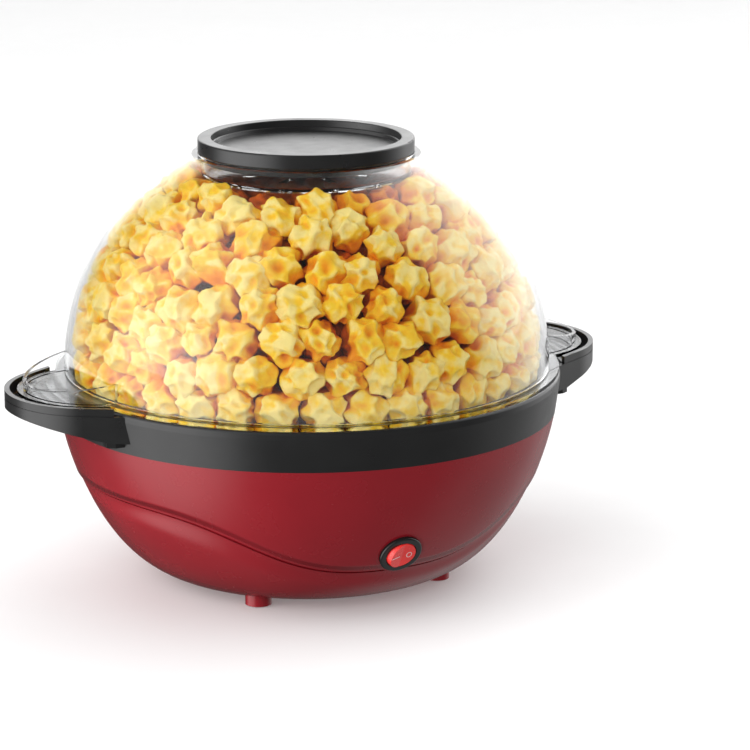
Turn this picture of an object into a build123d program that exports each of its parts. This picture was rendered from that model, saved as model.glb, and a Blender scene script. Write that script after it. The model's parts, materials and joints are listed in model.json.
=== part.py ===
"""Stirring popcorn maker: clear dome lid on a ribbed black collar, red bowl-shaped base.

Millimetres, +Z up. The origin is at the bottom centre, on the surface the feet stand on.
The two handles lie along X and the switch faces -Y.
"""
import os
from math import atan2, cos, degrees, pi, radians, sin, sqrt, tan

from build123d import *

# ---------------------------------------------------------------- driving dimensions
# Red base bowl: one Bezier curve from the shoulder under the collar to the flat bottom.
SHOULDER_Z = 99.4
BOWL_Z = 5.5
BOWL_CURVE = ((146.2, SHOULDER_Z), (135.2, 43.8), (106.9, BOWL_Z), (79.2, BOWL_Z))
BOWL_WALL = 2.6
WAVE_STEP = 1.2          # the upper part of the bowl stands this much proud of the lower
WAVE_GROOVE = (1.5, 0.9)  # height and depth of the shadow line under the step
WAVE_LOW_Z = 32.4        # height of the step at the front and back
WAVE_RISE = 34.5         # how much higher the step runs under the handles
WAVE_HALF_WIDTH = 130.0
TONGUE_TOP_Z = 103.0

# Collar (black ring) between bowl and lid
RIM_R = 150.0
RIM_TOP_Z = 123.0
RIM_BOTTOM_R = 147.4
RIM_BORE_R = 141.5
LEDGE_R = 131.0
LEDGE_BOTTOM_Z = 110.0
LEDGE_TOP_Z = 112.5

# Handles, seen from above: an arc with its two tangents running back to the collar
HANDLE_ARC_X = 132.5
HANDLE_ARC_R = 53.5
HANDLE_ARC_HALF_ANGLE = 60.0
HANDLE_WALL = 3.0
HANDLE_TOP_Z = 126.0
HANDLE_STEP_Z = 121.4
HANDLE_STEP_X = 143.4
HANDLE_FLOOR_Z = (115.5, 118.0)
HANDLE_TIP_BOTTOM_Z = 115.8
HANDLE_ROOT_BOTTOM_Z = 106.0
GRIP_RIB_RADII = (155.0, 161.0, 166.5)
LUG_Y = 51.0
LUG_Z = 106.8

# Clear lid
DOME_R = 143.7
DOME_WALL = 2.5
DOME_CENTRE_Z = 125.0
FLANGE_R = 149.2
LID_GAP = 0.3
FLANGE_Z = (RIM_TOP_Z + LID_GAP, RIM_TOP_Z + LID_GAP + 2.2)
SKIRT_R = (139.0, 141.0)
SKIRT_BOTTOM_Z = 117.0
DOME_TOP_Z = 252.0
CAP_SEAT_Z = 253.2
WELL_R = 59.0
WELL_WALL = 2.2
WELL_FLANGE_R = 63.6
WELL_FLOOR_Z = (238.0, 240.2)
LID_HANDLE_X = 131.0
LID_HANDLE_PLATE_R = 47.5
LID_HANDLE_WALL_R = (42.0, 44.2)
LID_HANDLE_TIP_Z = 130.0
LID_HANDLE_ROOT_Z = 137.5

# Cap over the butter well
CAP_R = 63.4
CAP_Z = (253.5, 261.4)
CAP_RECESS_R = 55.7
CAP_FLOOR_R = 53.3
CAP_FLOOR_Z = (253.4, 255.4)
CAP_PLUG_R = (56.4, 58.2)
CAP_PLUG_BOTTOM_Z = 247.0

# Feet
FOOT_XY = 57.4
FOOT_R = 7.8
PAD_R = 6.1
PAD_TOP_Z = 2.0
FOOT_BOTTOM_Z = 0.6

# Switch and cord gland, both square to the bowl's wall
SWITCH_Z = 43.0
SEAT_DEPTH = 0.6
BEZEL_R = 12.8
BEZEL_H = 2.2
COLLAR_R = 11.2
COLLAR_DEPTH = 7.0
ROCKER_R = 9.0
ROCKER_HALF_SWING = 9.0
TRUNNION_R = 1.1
GLAND_Z = 46.0
GLAND_BORE_R = 3.6

# Popping plate and what hangs under it
PLATE_FLOOR_R = 95.0
PLATE_FLOOR_Z = (84.0, 86.0)
PLATE_RIM_R = 140.5
GASKET_H = 1.5
PLATE_THICK = 1.6
STUD_R = 2.0
STUD_RADIUS = 84.0
SHIELD_Z = (62.0, 63.0)
SHIELD_R = 92.0
POST_RADIUS = 108.0
POST_R = 4.5
ELEMENT_R = 72.0
ELEMENT_TUBE_R = 3.5

# Gearmotor: three identical 4:1 steps on one centre distance
MODULE = 0.8
PINION_TEETH = 12
WHEEL_TEETH = 48
PRESSURE_ANGLE = radians(25)
ADDENDUM = 0.8 * MODULE
DEDENDUM = 1.1 * MODULE
BACKLASH = 0.16
CENTRE_DISTANCE = MODULE * (PINION_TEETH + WHEEL_TEETH) / 2
AXIS_DRIVE = (0.0, 0.0)
AXIS_TWO = (CENTRE_DISTANCE, 0.0)
AXIS_ONE = (CENTRE_DISTANCE / 2, -CENTRE_DISTANCE * sqrt(3) / 2)
AXIS_ROTOR = (-CENTRE_DISTANCE / 2, -CENTRE_DISTANCE * sqrt(3) / 2)
LEVEL_ONE_Z = (37.0, 41.0)      # wheel of gear_one with the rotor's pinion
LEVEL_TWO_Z = (42.0, 46.0)      # wheel of gear_two with gear_one's pinion
LEVEL_DRIVE_Z = (47.0, 51.0)    # output gear with gear_two's pinion
CASE_FLOOR_Z = (34.0, 36.0)
COVER_Z = (52.5, 54.5)
SHAFT_R = 3.0
SHAFT_TOP_Z = 103.0
PIN_R = 1.5
RUNNING_FIT = 0.05
LAMINATION_Z = (18.0, 30.0)
ROTOR_R = 10.0

# Stirrer
HUB_R = 9.0
HUB_Z = (90.4, 99.0)
KNOB_Z = (99.0, 110.0)
ROD_R = 2.0
ROD_FLOOR_Z = PLATE_FLOOR_Z[1] + ROD_R + 2.0

SCREW_R = 1.5
TOUCH = 0.02             # gap left between touching curved faces of fixed pieces

FOOT_PLACES = {"front_left": (-1, -1), "front_right": (1, -1), "rear_left": (-1, 1), "rear_right": (1, 1)}


# ---------------------------------------------------------------- helpers
def turned(corners, rounds=()):
    """Solid of revolution from (radius, height) corners; rounds are (radius, height, fillet)."""
    face = make_face(Polyline(*corners, close=True))
    for r, z, size in rounds:
        corner = face.vertices().sort_by_distance((r, z, 0))[0]
        face = fillet(corner, size)
    return revolve(Plane.XZ * face, Axis.Z)


def disc(r, z_low, z_high, x=0.0, y=0.0):
    """Upright cylinder between two heights."""
    return Pos(x, y, z_low) * Cylinder(r, z_high - z_low, align=(Align.CENTER, Align.CENTER, Align.MIN))


def tube(r_in, r_out, z_low, z_high, x=0.0, y=0.0):
    """Upright ring between two heights."""
    return disc(r_out, z_low, z_high, x, y) - disc(r_in, z_low - 1, z_high + 1, x, y)


def block(x, y, z):
    """Box from three (low, high) ranges."""
    size = Box(x[1] - x[0], y[1] - y[0], z[1] - z[0], align=(Align.MIN, Align.MIN, Align.MIN))
    return Pos(x[0], y[0], z[0]) * size


def around(count, radius, start=0.0):
    """Evenly spaced (x, y) places on a circle about Z."""
    angles = [radians(start + 360 * i / count) for i in range(count)]
    return [(radius * cos(a), radius * sin(a)) for a in angles]


def screw(head_r, head_h, shank_r, length):
    """Pan-head screw along +Z: head from -head_h to 0, shank from 0 to length, cross recess."""
    body = disc(head_r, -head_h, 0) + disc(shank_r, 0, length)
    arm = head_r * 1.1
    recess = Pos(0, 0, -head_h) * (Box(arm, 0.7, 1.6) + Box(0.7, arm, 1.6))
    return body - recess


def save(name, *solids):
    """Write one node as a STEP file."""
    group = solids[0] if len(solids) == 1 else Compound(children=list(solids))
    export_step(group, os.path.join("parts", name + ".step"))


# ---------------------------------------------------------------- bowl shape
def bowl_controls(grow):
    """Control points of the bowl curve, moved out by `grow`."""
    (r0, z0), (r1, z1), (r2, z2), (r3, z3) = BOWL_CURVE
    return (r0 + grow, z0), (r1 + 0.97 * grow, z1 - 0.2 * grow), (r2 + 0.5 * grow, z2 - grow), (r3, z3 - grow)


def bowl_solid(grow=0.0):
    """Everything inside the bowl curve moved out by `grow`."""
    top, first, second, foot = bowl_controls(grow)
    curve = Bezier(top, first, second, foot)
    outline = [curve, Line(foot, (0, foot[1])), Line((0, foot[1]), (0, top[1])), Line((0, top[1]), top)]
    return revolve(Plane.XZ * make_face(outline), Axis.Z)


def bowl_wall_plane(height, side, grow, depth):
    """Plane square to the bowl's wall at a height: side is -1 at the front and 1 at the back."""
    curve = Bezier(*bowl_controls(grow))
    low, high = 0.0, 1.0
    for _ in range(40):
        middle = (low + high) / 2
        if (curve @ middle).Y > height:
            low = middle
        else:
            high = middle
    point, along = curve @ low, curve % low
    normal = Vector(0, -side * along.Y, along.X).normalized()
    origin = Vector(0, side * point.X, point.Y) - normal * depth
    return Plane(origin=origin, x_dir=(-side, 0, 0), z_dir=normal)


def wave_region(drop=0.0):
    """The space above the wavy step that runs round the bowl, or above a line that far below it."""
    count = 20
    xs = [-160 + 320 * i / count for i in range(count + 1)]
    curve = Spline(*[(x, wave_height(x) - drop) for x in xs])
    left, right, top = curve @ 0, curve @ 1, 130
    far, near = (right.X, top), (left.X, top)
    edges = [curve, Line(right, far), Line(far, near), Line(near, left)]
    return extrude(Plane.XZ.offset(-160) * make_face(edges), 320)


def wave_height(x):
    """Height of the step at a distance x from the centre plane."""
    share = min(abs(x) / WAVE_HALF_WIDTH, 1.0)
    return WAVE_LOW_Z + WAVE_RISE * sin(share * pi / 2) ** 3.5


SWITCH_PLANE = bowl_wall_plane(SWITCH_Z, -1, WAVE_STEP, SEAT_DEPTH)
GLAND_PLANE = bowl_wall_plane(GLAND_Z, 1, WAVE_STEP, SEAT_DEPTH)
GLAND_FLANGE_R = 8.5
GLAND_BODY_R = 6.2

COVER_R = 67.6
COVER_SCREW_RADIUS = 64.0
COVER_Z_RANGE = (BOWL_Z, BOWL_Z + 2.2)
LIP_TOP_Z = COVER_Z_RANGE[1] + 3.0


# ---------------------------------------------------------------- base: housing and feet
def bottom_housing():
    """Red bowl shell with its wavy step, posts, bosses and openings."""
    shell = bowl_solid() + (bowl_solid(WAVE_STEP) & wave_region())
    groove_height, groove_depth = WAVE_GROOVE
    shell -= wave_region(groove_height) - wave_region() - bowl_solid(-groove_depth)
    shell -= bowl_solid(-BOWL_WALL)
    shell += tube(140.8, 143.8, 92, TONGUE_TOP_Z)
    shell += tube(60, 71, BOWL_Z, LIP_TOP_Z)
    inside = bowl_solid(-0.8)
    for x, y in around(4, POST_RADIUS, 45):
        shell += disc(POST_R, BOWL_Z, SHIELD_Z[0], x, y) & inside
    for sx, sy in FOOT_PLACES.values():
        shell += disc(POST_R, BOWL_Z + 1, 16, sx * FOOT_XY, sy * FOOT_XY)
    for x, y in around(4, COVER_SCREW_RADIUS, 45):
        shell += disc(3.6, LIP_TOP_Z - 1, 16, x, y)
    seats = ((SWITCH_PLANE, 14.5, COLLAR_R + 0.2), (GLAND_PLANE, 10.5, GLAND_BODY_R + 0.1))
    for plane, pad_r, hole_r in seats:
        shell += plane * disc(pad_r, -2.4, 0)
        shell -= plane * disc(pad_r - 1.4, 0, 9)
        shell -= plane * disc(hole_r, -12, 9)
    shell -= disc(60, 0, 20) + disc(COVER_R + 0.3, 0, COVER_Z_RANGE[1])
    for x, y in around(4, POST_RADIUS, 45):
        shell -= disc(SCREW_R, SHIELD_Z[0] - 12, SHIELD_Z[0] + 1, x, y)
    for sx, sy in FOOT_PLACES.values():
        shell -= disc(SCREW_R, 0, 17, sx * FOOT_XY, sy * FOOT_XY)
    for x, y in around(4, COVER_SCREW_RADIUS, 45):
        shell -= disc(1.2, 0, 17, x, y)
    return shell


def bottom_cover():
    """Round service cover under the bowl with straight vent slots."""
    cover = disc(COVER_R, *COVER_Z_RANGE)
    for row in range(-4, 5):
        y = row * 10.0
        half = sqrt(46.0 ** 2 - y ** 2)
        slot = extrude(SlotOverall(2 * half, 3.2), 10)
        cover -= Pos(0, y, 0) * slot
    for x, y in around(4, COVER_SCREW_RADIUS, 45):
        cover -= disc(1.4, 0, 10, x, y)
        cover -= disc(2.6, 0, BOWL_Z + 1.2, x, y)
    return cover


def cover_screws():
    """Four small screws that hold the service cover."""
    places = around(4, COVER_SCREW_RADIUS, 45)
    return [Pos(x, y, BOWL_Z + 1.2) * screw(2.4, 1.0, 1.2, 8.5) for x, y in places]


def foot(x, y):
    """Red round foot, shaped on top to the bowl."""
    body = disc(FOOT_R, FOOT_BOTTOM_Z, 12, x, y) - bowl_solid(TOUCH)
    body = body.solids().sort_by(Axis.Z)[0]
    body -= disc(PAD_R + 0.1, 0, PAD_TOP_Z, x, y)
    body -= disc(3.3, 0, PAD_TOP_Z + 1.9, x, y)
    return body - disc(SCREW_R + 0.1, 0, 12, x, y)


def foot_pads():
    """Soft pads under the feet."""
    pad = disc(PAD_R, 0, PAD_TOP_Z)
    pad = fillet(pad.edges().group_by(Axis.Z)[0], 0.4)
    return [Pos(sx * FOOT_XY, sy * FOOT_XY, 0) * pad for sx, sy in FOOT_PLACES.values()]


def foot_screws():
    """Screws that hold the feet, hidden above the pads."""
    spots = [(sx * FOOT_XY, sy * FOOT_XY) for sx, sy in FOOT_PLACES.values()]
    return [Pos(x, y, PAD_TOP_Z + 1.9) * screw(3.1, 1.8, SCREW_R, 10) for x, y in spots]


# ---------------------------------------------------------------- collar and handles
def rim_outer_radius(z):
    """Outer radius of the collar at a height."""
    share = (z - SHOULDER_Z) / (118.5 - SHOULDER_Z)
    return RIM_BOTTOM_R + (RIM_R - RIM_BOTTOM_R) * min(share, 1.0)


def rim_ring():
    """Black collar: outer band, top face for the lid and the ledge that carries the plate."""
    wall = 3.0
    corners = [
        (RIM_BOTTOM_R, SHOULDER_Z), (RIM_R, 118.5), (RIM_R, RIM_TOP_Z), (RIM_BORE_R, RIM_TOP_Z),
        (RIM_BORE_R, LEDGE_TOP_Z), (LEDGE_R, LEDGE_TOP_Z), (LEDGE_R, LEDGE_BOTTOM_Z),
        (rim_outer_radius(LEDGE_BOTTOM_Z) - wall, LEDGE_BOTTOM_Z), (RIM_BOTTOM_R - wall, SHOULDER_Z),
    ]
    rounds = [(RIM_R, RIM_TOP_Z, 1.8), (RIM_BORE_R, RIM_TOP_Z, 0.8), (LEDGE_R, LEDGE_TOP_Z, 0.6)]
    ring = turned(corners, rounds)
    for side in (-1, 1):
        for y in (-LUG_Y, LUG_Y):
            ring -= Pos(side * 142, y, LUG_Z) * Rot(0, 90, 0) * Cylinder(SCREW_R + 0.1, 24)
    return ring


def handle_outline(inset=0.0):
    """Plan of the right handle, wall line moved in by `inset`."""
    r = HANDLE_ARC_R - inset
    a = radians(HANDLE_ARC_HALF_ANGLE)
    start = Vector(HANDLE_ARC_X + r * cos(a), -r * sin(a))
    end = Vector(start.X, -start.Y)
    run = 31.0
    back_end = end + Vector(-sin(a), cos(a)) * run
    back_start = Vector(back_end.X, -back_end.Y)
    arc = ThreePointArc(start, (HANDLE_ARC_X + r, 0), end)
    inner_x = 115.0
    lines = [
        Line(end, back_end), Line(back_end, (inner_x, back_end.Y)),
        Line((inner_x, back_end.Y), (inner_x, back_start.Y)), Line((inner_x, back_start.Y), back_start),
        Line(back_start, start),
    ]
    return make_face([arc] + lines)


def handle_right():
    """Tray-shaped carrying handle with concentric grip ribs, at +X."""
    whole = Pos(0, 0, 100) * extrude(handle_outline(), HANDLE_TOP_Z - 100)
    hollow = handle_outline(HANDLE_WALL)
    body = whole - Pos(0, 0, HANDLE_FLOOR_Z[1]) * extrude(hollow, 20)
    body -= Pos(0, 0, HANDLE_FLOOR_Z[0] - 20) * extrude(hollow, 20)
    for r in GRIP_RIB_RADII:
        rib = tube(r - 0.9, r + 0.9, HANDLE_FLOOR_Z[1] - 0.5, HANDLE_FLOOR_Z[1] + 1.8)
        body += rib & (Pos(0, 0, 100) * extrude(hollow, 30))
    tip_x = HANDLE_ARC_X + HANDLE_ARC_R
    under = Polyline(
        (120, 90), (200, 90), (200, HANDLE_TIP_BOTTOM_Z + 3), (tip_x, HANDLE_TIP_BOTTOM_Z),
        (RIM_R - 4, HANDLE_ROOT_BOTTOM_Z), (120, HANDLE_ROOT_BOTTOM_Z), close=True)
    body -= extrude(Plane.XZ.offset(-80) * make_face(under), 160)
    body -= block((100, HANDLE_STEP_X), (-80, 80), (HANDLE_STEP_Z, 140))
    groove = extrude(handle_outline(-1), 0.5) - extrude(handle_outline(0.4), 0.5)
    body -= Pos(0, 0, HANDLE_STEP_Z) * groove
    lug_space = Pos(0, 0, 100) * extrude(handle_outline(0.6), 20)
    for y in (-LUG_Y, LUG_Y):
        body += block((130, 147), (y - 4.2, y + 4.2), (LUG_Z - 3.5, HANDLE_FLOOR_Z[0] + 1)) & lug_space
    body -= turned([
        (0, 90), (rim_outer_radius(90) + TOUCH, 90), (RIM_R + TOUCH, 118.5),
        (RIM_R + TOUCH, 140), (0, 140)])
    for y in (-LUG_Y, LUG_Y):
        body -= Pos(142, y, LUG_Z) * Rot(0, 90, 0) * Cylinder(SCREW_R, 8)
    return body.solids().sort_by(SortBy.VOLUME)[-1]


def handle_left():
    """The other handle, turned half round."""
    return Rot(0, 0, 180) * handle_right()


def handle_screws():
    """Four screws from inside the collar into the handle lugs."""
    found = []
    for turn in (0, 180):
        for y in (-LUG_Y, LUG_Y):
            inner_x = sqrt((rim_outer_radius(LUG_Z) - 3.0) ** 2 - (LUG_Y + 2.6) ** 2) - 0.4
            place = Pos(inner_x, y, LUG_Z) * Rot(0, 90, 0)
            found.append(Rot(0, 0, turn) * place * screw(2.5, 2.0, SCREW_R, 146 - inner_x))
    return found


# ---------------------------------------------------------------- popping plate group
def popping_plate():
    """Shallow non-stick dish whose rim rests on the collar's ledge."""
    low, high = PLATE_FLOOR_Z
    rim_low = LEDGE_TOP_Z + GASKET_H
    rim_high = rim_low + PLATE_THICK
    corners = [
        (6, high), (PLATE_FLOOR_R, high), (LEDGE_R - 1.5, rim_high), (PLATE_RIM_R, rim_high),
        (PLATE_RIM_R, rim_low), (LEDGE_R - 0.8, rim_low), (PLATE_FLOOR_R + 1, low), (6, low),
    ]
    rounds = [(PLATE_FLOOR_R, high, 12), (PLATE_FLOOR_R + 1, low, 14), (LEDGE_R - 1.5, rim_high, 2.5)]
    return turned(corners, rounds)


def plate_gasket():
    """Silicone ring between plate rim and collar ledge."""
    return tube(LEDGE_R + 1.5, PLATE_RIM_R - 0.5, LEDGE_TOP_Z, LEDGE_TOP_Z + GASKET_H)


def plate_studs():
    """Studs welded under the plate."""
    return [disc(STUD_R, 57, PLATE_FLOOR_Z[0], x, y) for x, y in around(4, STUD_RADIUS)]


def stud_nuts():
    """Nuts that pull plate, collar and heat shield together."""
    found = []
    for x, y in around(4, STUD_RADIUS):
        nut = extrude(RegularPolygon(4.0, 6), 3.2) - disc(STUD_R, -1, 5)
        found.append(Pos(x, y, SHIELD_Z[0] - 3.2) * nut)
    return found


def heating_element():
    """Sheathed ring element with two cold legs, pressed under the plate."""
    gap = 16.0
    z = PLATE_FLOOR_Z[0] - ELEMENT_TUBE_R
    section = Plane.XZ * Pos(ELEMENT_R, z) * Circle(ELEMENT_TUBE_R)
    ring = Rot(0, 0, 270 + gap / 2) * revolve(section, Axis.Z, 360 - gap)
    for side in (-1, 1):
        a = radians(270 + side * gap / 2)
        x, y = ELEMENT_R * cos(a), ELEMENT_R * sin(a)
        ring += Pos(x, y, z) * Sphere(ELEMENT_TUBE_R)
        ring += disc(ELEMENT_TUBE_R, SHIELD_Z[1] + 5, z, x, y)
        ring += disc(1.2, SHIELD_Z[1] + 1, z, x, y)
    return ring


def element_clamps():
    """Four saddle blocks that hold the element against the plate."""
    z = PLATE_FLOOR_Z[0] - ELEMENT_TUBE_R
    section = Plane.XZ * Pos(ELEMENT_R, z) * Circle(ELEMENT_TUBE_R + TOUCH)
    channel = revolve(section, Axis.Z, 360)
    found = []
    for turn in (45, 135, 225, 315):
        saddle = block((ELEMENT_R - 7, ELEMENT_R + 7), (-5, 5), (z - 5.5, PLATE_FLOOR_Z[0]))
        saddle = saddle - block((ELEMENT_R - 3.4, ELEMENT_R + 3.4), (-6, 6), (z, 90))
        found.append(Rot(0, 0, turn) * (saddle - channel))
    return found


def thermostat():
    """Disc thermostat under the plate with two blade tabs."""
    x, y, top = 38.0, 28.0, PLATE_FLOOR_Z[0]
    body = disc(8.5, top - 4, top, x, y) + disc(7.0, top - 10, top - 4, x, y)
    for side in (-1, 1):
        body += block((x + side * 4 - 0.4, x + side * 4 + 0.4), (y - 3, y + 3), (top - 17, top - 10))
    return body


def fuse_clip():
    """Spring clip that holds the thermal fuse to the plate."""
    clip = block((-46, -34), (24, 36), (PLATE_FLOOR_Z[0] - 6.5, PLATE_FLOOR_Z[0]))
    return clip - Pos(-40, 30, PLATE_FLOOR_Z[0] - 3.2) * Rot(0, 90, 0) * Cylinder(2.2 + TOUCH, 20)


def thermal_fuse():
    """Axial thermal fuse with its two leads."""
    lay = Pos(-40, 30, PLATE_FLOOR_Z[0] - 3.2) * Rot(0, 90, 0)
    return lay * Cylinder(2.2, 15) + lay * Cylinder(0.6, 34)


def heat_shield():
    """Steel disc with four ears screwed to the housing posts."""
    plate = disc(SHIELD_R, *SHIELD_Z)
    for turn in (45, 135):
        ear = block((-POST_RADIUS, POST_RADIUS), (-7, 7), SHIELD_Z)
        ear += disc(7, *SHIELD_Z, POST_RADIUS) + disc(7, *SHIELD_Z, -POST_RADIUS)
        plate += Rot(0, 0, turn) * ear
    plate -= disc(9, 60, 65)
    for x, y in around(4, STUD_RADIUS):
        plate -= disc(STUD_R + 0.2, 60, 65, x, y)
    for x, y in around(4, POST_RADIUS, 45) + TOWERS:
        plate -= disc(SCREW_R + 0.2, 60, 65, x, y)
    for turn in (262, 278):
        a = radians(turn)
        plate -= disc(5, 60, 65, ELEMENT_R * cos(a), ELEMENT_R * sin(a))
    return plate


def shield_screws():
    """Screws from the shield's ears into the posts."""
    turned_down = Rot(180, 0, 0) * screw(3.0, 1.8, SCREW_R, 10)
    return [Pos(x, y, SHIELD_Z[1]) * turned_down for x, y in around(4, POST_RADIUS, 45)]


# ---------------------------------------------------------------- gears
def involute_flank(base_r, r_low, r_high, steps=3):
    """(radius, angle) points of an involute between two radii."""
    found = []
    for i in range(steps + 1):
        r = r_low + (r_high - r_low) * i / steps
        roll = sqrt(max((r / base_r) ** 2 - 1, 0.0))
        found.append((r, roll - atan2(roll, 1)))
    return found


def gear_face(teeth, turn=0.0):
    """Plan of a spur gear with involute flanks; a tooth points along +X before `turn` degrees."""
    pitch_r = MODULE * teeth / 2
    base_r = pitch_r * cos(PRESSURE_ANGLE)
    root_r, tip_r = pitch_r - DEDENDUM, pitch_r + ADDENDUM
    pitch_involute = tan(PRESSURE_ANGLE) - PRESSURE_ANGLE
    half_tooth = pi / (2 * teeth) - BACKLASH / (2 * pitch_r)
    start_r = max(base_r, root_r + 0.05)
    flank = [(r, half_tooth + pitch_involute - a) for r, a in involute_flank(base_r, start_r, tip_r)]
    root_angle = flank[0][1]
    points = []
    for i in range(teeth):
        centre = radians(turn) + 2 * pi * i / teeth
        one = [(root_r, -root_angle)] + [(r, -a) for r, a in flank]
        one += [(r, a) for r, a in reversed(flank)] + [(root_r, root_angle)]
        points += [(r * cos(centre + a), r * sin(centre + a)) for r, a in one]
    return make_face(Polyline(*points, close=True))


def spur(teeth, z, axis, turn):
    """Spur gear between two heights on a vertical axis."""
    return Pos(axis[0], axis[1], z[0]) * extrude(gear_face(teeth, turn), z[1] - z[0])


def mesh_turn(driver_axis, driver_teeth, driver_turn, axis, teeth):
    """Turn of a gear, in degrees, that puts its tooth gap on the driver's tooth."""
    line = degrees(atan2(axis[1] - driver_axis[1], axis[0] - driver_axis[0]))
    phase = (line - driver_turn) / (360 / driver_teeth)
    return line + 180 + (phase + 0.5) * 360 / teeth


DRIVE_TURN = 0.0
TWO_PINION_TURN = mesh_turn(AXIS_DRIVE, WHEEL_TEETH, DRIVE_TURN, AXIS_TWO, PINION_TEETH)
TWO_WHEEL_TURN = TWO_PINION_TURN
ONE_PINION_TURN = mesh_turn(AXIS_TWO, WHEEL_TEETH, TWO_WHEEL_TURN, AXIS_ONE, PINION_TEETH)
ONE_WHEEL_TURN = ONE_PINION_TURN
ROTOR_PINION_TURN = mesh_turn(AXIS_ONE, WHEEL_TEETH, ONE_WHEEL_TURN, AXIS_ROTOR, PINION_TEETH)


def drive_gear():
    """Output wheel fixed to the drive shaft, with a short hub."""
    wheel = spur(WHEEL_TEETH, LEVEL_DRIVE_Z, AXIS_DRIVE, DRIVE_TURN)
    wheel += tube(SHAFT_R, 6.0, LEVEL_DRIVE_Z[0], LEVEL_DRIVE_Z[1] + 1.0)
    wheel -= disc(SHAFT_R, 40, 60)
    for x, y in around(6, 12.0):
        wheel -= disc(3.4, 40, 60, x, y)
    return wheel


def compound_gear(axis, wheel_z, pinion_top_z, wheel_turn, pinion_turn):
    """Idler with a large wheel below and a small pinion above, free on its pin."""
    body = spur(WHEEL_TEETH, wheel_z, axis, wheel_turn)
    body += spur(PINION_TEETH, (wheel_z[1], pinion_top_z), axis, pinion_turn)
    for dx, dy in around(6, 12.0):
        body -= disc(3.4, 30, 60, axis[0] + dx, axis[1] + dy)
    return body - disc(PIN_R + RUNNING_FIT, 30, 60, *axis)


def gear_two():
    """Last idler: wheel on level two, pinion in mesh with the output gear."""
    return compound_gear(AXIS_TWO, LEVEL_TWO_Z, LEVEL_DRIVE_Z[1] + 0.3, TWO_WHEEL_TURN, TWO_PINION_TURN)


def gear_one():
    """First idler: wheel on level one, pinion in mesh with gear_two."""
    return compound_gear(AXIS_ONE, LEVEL_ONE_Z, LEVEL_TWO_Z[1] + 0.3, ONE_WHEEL_TURN, ONE_PINION_TURN)


def rotor_core():
    """Magnet rotor of the motor."""
    core = disc(ROTOR_R, LAMINATION_Z[0] - 0.5, LAMINATION_Z[1] + 0.5, *AXIS_ROTOR)
    return core - disc(PIN_R, 0, 60, *AXIS_ROTOR)


def rotor_shaft():
    """Motor shaft with its pinion."""
    shaft = disc(PIN_R, 11, LEVEL_ONE_Z[1] + 1.0, *AXIS_ROTOR)
    pinion_z = (LEVEL_ONE_Z[0] - 0.2, LEVEL_ONE_Z[1] + 0.2)
    return shaft + spur(PINION_TEETH, pinion_z, AXIS_ROTOR, ROTOR_PINION_TURN)


# ---------------------------------------------------------------- gearmotor case and motor
GEAR_SPACE = 21.2
CASE_WALL = 2.0
TOWERS = [(-18.5, 17.5), (42.5, 17.5), (36.0, -32.0), (-24.0, -30.0)]


def case_outline(grow):
    """Plan of the gear case: a hull round the gear axes and the screw towers."""
    circles = [Pos(*axis) * Circle(GEAR_SPACE + grow) for axis in (AXIS_DRIVE, AXIS_TWO, AXIS_ONE)]
    circles.append(Pos(*AXIS_ROTOR) * Circle(10 + grow))
    edges = ShapeList()
    for circle in circles:
        edges += circle.edges()
    return make_hull(edges)


def tower_outline():
    """Ears of the gear case round its four screws."""
    ears = Sketch()
    for x, y in TOWERS:
        ears += Pos(x, y) * Circle(4.2)
    return ears


def gearbox_case():
    """Lower half of the gear case, with bearings for the drive shaft and the rotor."""
    plan = case_outline(CASE_WALL) + tower_outline()
    body = Pos(0, 0, CASE_FLOOR_Z[0]) * extrude(plan, COVER_Z[0] - CASE_FLOOR_Z[0])
    body -= Pos(0, 0, CASE_FLOOR_Z[1]) * extrude(case_outline(0) - tower_outline(), 30)
    for axis, r in ((AXIS_DRIVE, SHAFT_R + RUNNING_FIT), (AXIS_TWO, PIN_R), (AXIS_ONE, PIN_R),
                    (AXIS_ROTOR, PIN_R + RUNNING_FIT)):
        body -= disc(r, 30, 40, *axis)
    for x, y in MOTOR_BOLTS:
        body += disc(3.5, LAMINATION_Z[1], CASE_FLOOR_Z[0] + 1, x, y)
        body -= disc(SCREW_R, 20, CASE_FLOOR_Z[1] + 1, x, y)
    for x, y in TOWERS:
        body -= disc(SCREW_R, 30, 60, x, y)
    return body


def gearbox_cover():
    """Upper half of the gear case, with towers up to the heat shield."""
    plan = case_outline(CASE_WALL) + tower_outline()
    body = Pos(0, 0, COVER_Z[0]) * extrude(plan, COVER_Z[1] - COVER_Z[0])
    for x, y in TOWERS:
        body += disc(3.6, COVER_Z[0], SHIELD_Z[0], x, y)
        body -= disc(SCREW_R + 0.1, 30, 70, x, y)
    body -= disc(SHAFT_R + RUNNING_FIT, 50, 60, *AXIS_DRIVE)
    for axis in (AXIS_TWO, AXIS_ONE):
        body -= disc(PIN_R, 50, 60, *axis)
    return body


def gearbox_screws():
    """Long screws from the heat shield down through both halves of the case."""
    down = Rot(180, 0, 0)
    return [Pos(x, y, SHIELD_Z[1]) * down * screw(3.0, 1.8, SCREW_R, 22) for x, y in TOWERS]


def gear_pins():
    """Fixed pins of the two idlers."""
    return [disc(PIN_R, CASE_FLOOR_Z[0], COVER_Z[1], *axis) for axis in (AXIS_TWO, AXIS_ONE)]


MOTOR_BOLTS = [(AXIS_ROTOR[0] - 17, AXIS_ROTOR[1] - 9), (AXIS_ROTOR[0] + 17, AXIS_ROTOR[1] + 9)]


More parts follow.
